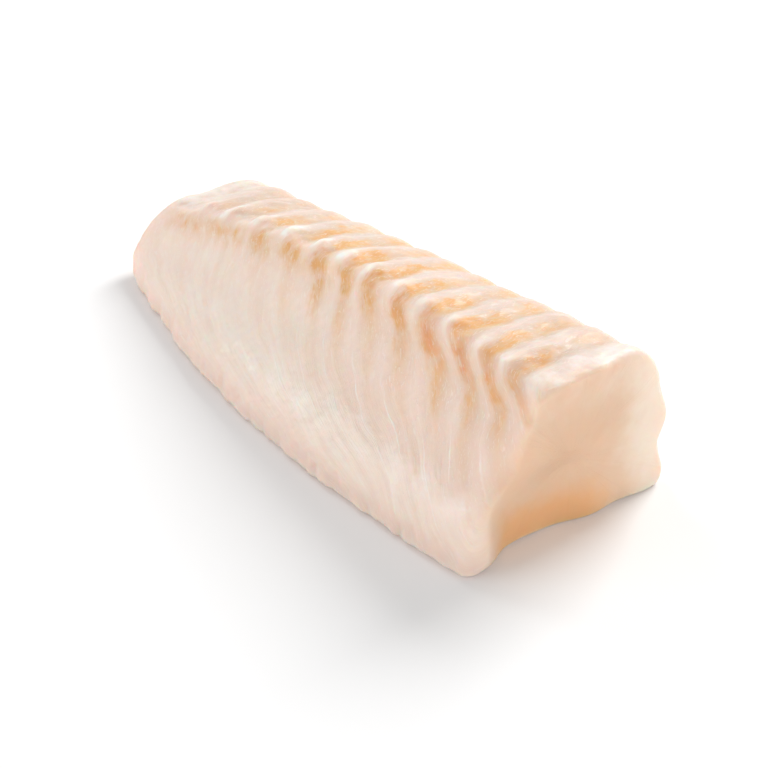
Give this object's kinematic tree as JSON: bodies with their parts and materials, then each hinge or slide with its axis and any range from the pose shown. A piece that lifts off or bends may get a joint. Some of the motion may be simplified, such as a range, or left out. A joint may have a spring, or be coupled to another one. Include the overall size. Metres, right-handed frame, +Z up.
{
  "type": "cod loin",
  "caption": "Raw skinless cod loin, a thick straight-cut portion with flakes across its top, a long front slope down to a soft foot and a flat base.",
  "frame": {"origin": "middle of the bounding box on its lower face, which is on the flat base the loin rests on", "axes": "+X along the loin towards its thick cut face, +Y from the sloping front to the steep back, +Z up"},
  "size_m": [0.1574, 0.0612, 0.0365],
  "materials": {
    "cod_flesh": "moist raw cod flesh: creamy white to pale peach and slightly see-through, with amber tints between the flakes and a wet gloss on their crests"
  },
  "bodies": {
    "root": {"cod_loin": "cod_flesh"}
  },
  "joints": []
}
